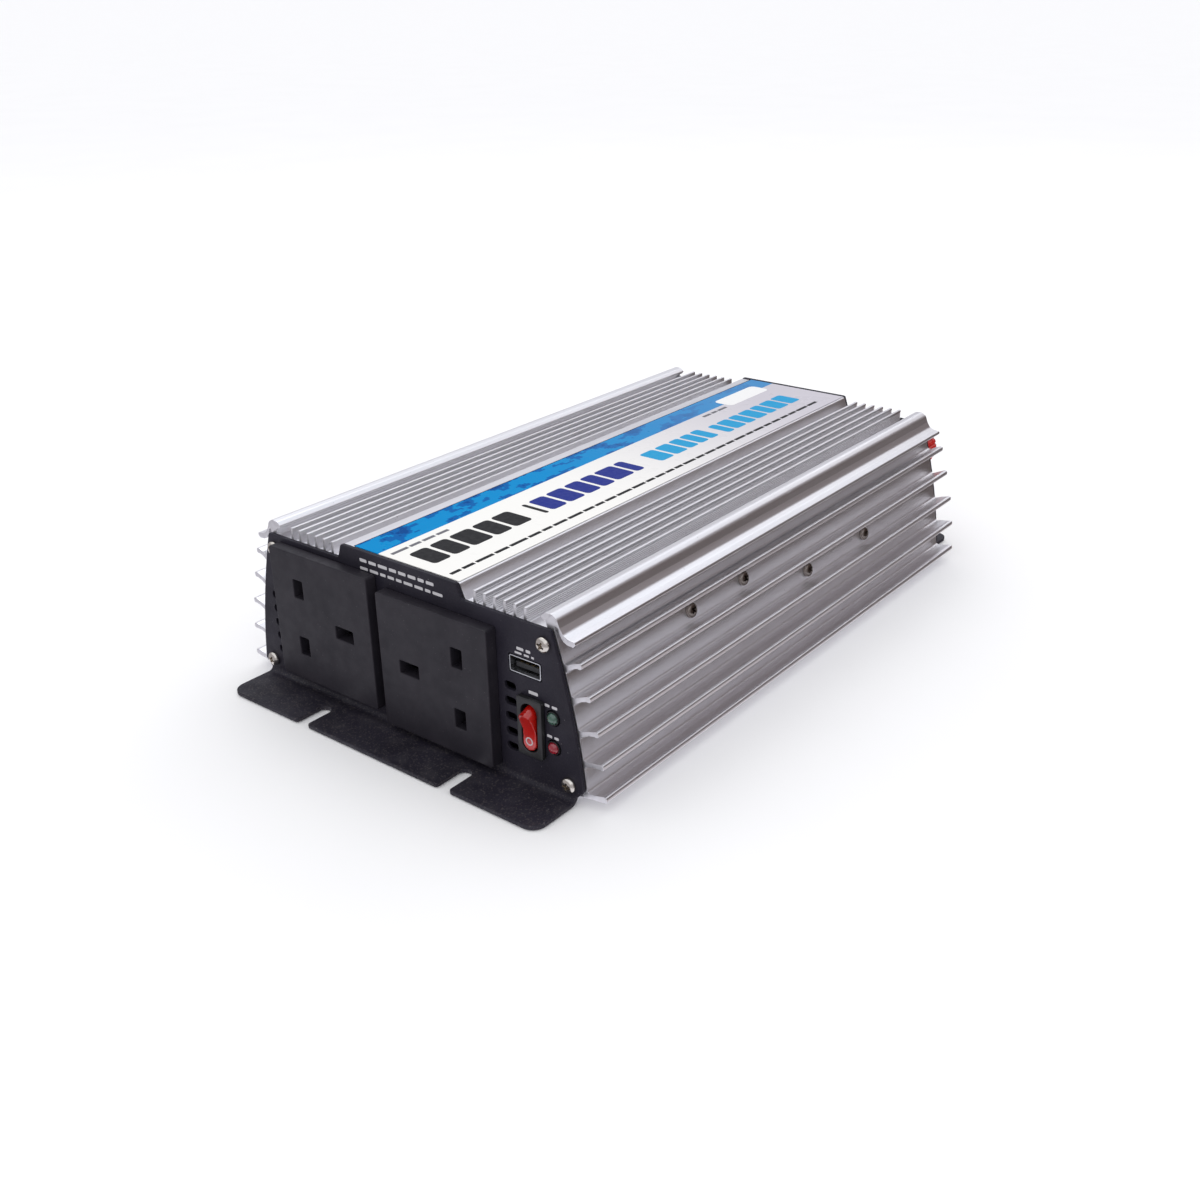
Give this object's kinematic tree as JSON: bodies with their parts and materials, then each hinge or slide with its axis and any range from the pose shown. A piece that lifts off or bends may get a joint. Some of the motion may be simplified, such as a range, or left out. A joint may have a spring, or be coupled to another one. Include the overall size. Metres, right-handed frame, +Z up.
{
  "type": "power inverter",
  "caption": "Compact power inverter: finned aluminium case between black footed end plates, mains sockets, rocker switch and lamps at one end, battery terminals and fan at the other.",
  "frame": {"origin": "on the ground, under the centre of the bounding box", "axes": "+Y along the case towards the battery terminals, +X to the right for someone facing the sockets, +Z up"},
  "size_m": [0.1682, 0.2878, 0.0636],
  "materials": {
    "case_aluminium": "satin anodised extrusion with fine lines along its length",
    "label_film": "printed plastic film in blue and white",
    "plate_steel": "black fine-textured powder coat",
    "screw_nickel": "bright nickel plate",
    "screw_dark": "dark plated steel",
    "socket_plastic": "matt dark grey-brown moulding",
    "shutter_nylon": "pale nylon",
    "contact_brass": "plain spring brass",
    "switch_plastic": "black moulding",
    "fan_plastic": "black moulding",
    "usb_plastic": "black moulding",
    "tinned_steel": "tin-plated steel",
    "rocker_red": "glossy translucent red plastic",
    "led_green": "clear greenish lens",
    "led_red": "clear red lens",
    "board_green": "green solder mask on glass-fibre board",
    "terminal_red": "glossy red plastic",
    "terminal_black": "glossy black plastic",
    "terminal_brass": "plain turned brass",
    "transistor_body": "black moulded packages on a metal strip",
    "ferrite": "dull dark grey ferrite",
    "winding_tape": "amber tape over copper wire",
    "capacitor_sleeve": "dark blue shrink sleeve over an aluminium can"
  },
  "bodies": {
    "inverter": {"base_cover": "case_aluminium", "bus_capacitor": "capacitor_sleeve", "case_extrusion": "case_aluminium", "clamp_bar_front": "tinned_steel", "clamp_bar_rear": "tinned_steel", "fan_frame": "fan_plastic", "fan_screw_1": "screw_nickel", "fan_screw_2": "screw_nickel", "fan_screw_3": "screw_nickel", "fan_screw_4": "screw_nickel", "front_plate": "plate_steel", "front_screw_bottom_left": "screw_nickel", "front_screw_bottom_right": "screw_nickel", "front_screw_top_left": "screw_nickel", "front_screw_top_right": "screw_nickel", "input_capacitor_a": "capacitor_sleeve", "input_capacitor_b": "capacitor_sleeve", "led_fault": "led_red", "led_power": "led_green", "main_board": "board_green", "panel_board": "board_green", "rear_plate": "plate_steel", "rear_screw_bottom_left": "screw_nickel", "rear_screw_bottom_right": "screw_nickel", "rear_screw_top_left": "screw_nickel", "rear_screw_top_right": "screw_nickel", "side_screw_front_1": "screw_dark", "side_screw_front_2": "screw_dark", "side_screw_rear_1": "screw_dark", "side_screw_rear_2": "screw_dark", "socket_left_back": "socket_plastic", "socket_left_contact_earth": "contact_brass", "socket_left_contact_line": "contact_brass", "socket_left_contact_neutral": "contact_brass", "socket_left_front": "socket_plastic", "socket_right_back": "socket_plastic", "socket_right_contact_earth": "contact_brass", "socket_right_contact_line": "contact_brass", "socket_right_contact_neutral": "contact_brass", "socket_right_front": "socket_plastic", "switch_housing": "switch_plastic", "terminal_black_base": "terminal_black", "terminal_black_stud": "terminal_brass", "terminal_red_base": "terminal_red", "terminal_red_stud": "terminal_brass", "top_label": "label_film", "transformer_core": "ferrite", "transformer_winding": "winding_tape", "transistor_bank_front": "transistor_body", "transistor_bank_rear": "transistor_body", "usb_shell": "tinned_steel", "usb_tongue": "usb_plastic"},
    "rocker": {"switch_rocker": "rocker_red"},
    "left_shutter": {"socket_left_shutter": "shutter_nylon"},
    "right_shutter": {"socket_right_shutter": "shutter_nylon"},
    "fan": {"fan_rotor": "fan_plastic"},
    "red_washer": {"terminal_red_washer": "terminal_brass"},
    "red_knob": {"terminal_red_knob": "terminal_red"},
    "black_washer": {"terminal_black_washer": "terminal_brass"},
    "black_knob": {"terminal_black_knob": "terminal_black"}
  },
  "joints": [
    {"name": "power_switch", "type": "hinge", "parent": "inverter", "child": "rocker", "pos_m": [0.0567, -0.1229, 0.0229], "axis": [-1, 0, 0], "range_deg": [0, 22]},
    {"name": "left_shutter_slide", "type": "slide", "parent": "inverter", "child": "left_shutter", "axis": [-1, 0, 0], "range_m": [0, 0.0054], "stiffness_N_per_m": 150, "springref_m": -0.003},
    {"name": "right_shutter_slide", "type": "slide", "parent": "inverter", "child": "right_shutter", "axis": [1, 0, 0], "range_m": [0, 0.0054], "stiffness_N_per_m": 150, "springref_m": -0.003},
    {"name": "fan_spin", "type": "hinge", "parent": "inverter", "child": "fan", "pos_m": [-0.034, 0.117, 0.0297], "axis": [0, 1, 0], "continuous": true},
    {"name": "red_washer_lift", "type": "slide", "parent": "inverter", "child": "red_washer", "axis": [0, 1, 0], "range_m": [0, 0.00452]},
    {"name": "red_knob_turn", "type": "hinge", "parent": "red_washer", "child": "red_knob", "pos_m": [0.0555, 0.1345, 0.042], "axis": [0, 1, 0], "range_deg": [0, 1080]},
    {"name": "black_washer_lift", "type": "slide", "parent": "inverter", "child": "black_washer", "axis": [0, 1, 0], "range_m": [0, 0.00452]},
    {"name": "black_knob_turn", "type": "hinge", "parent": "black_washer", "child": "black_knob", "pos_m": [0.0245, 0.1345, 0.042], "axis": [0, 1, 0], "range_deg": [0, 1080]}
  ],
  "couplings": [
    {"joint": "red_washer_lift", "follows": "red_knob_turn", "m_per_rad": 0.0002387},
    {"joint": "black_washer_lift", "follows": "black_knob_turn", "m_per_rad": 0.0002387}
  ]
}
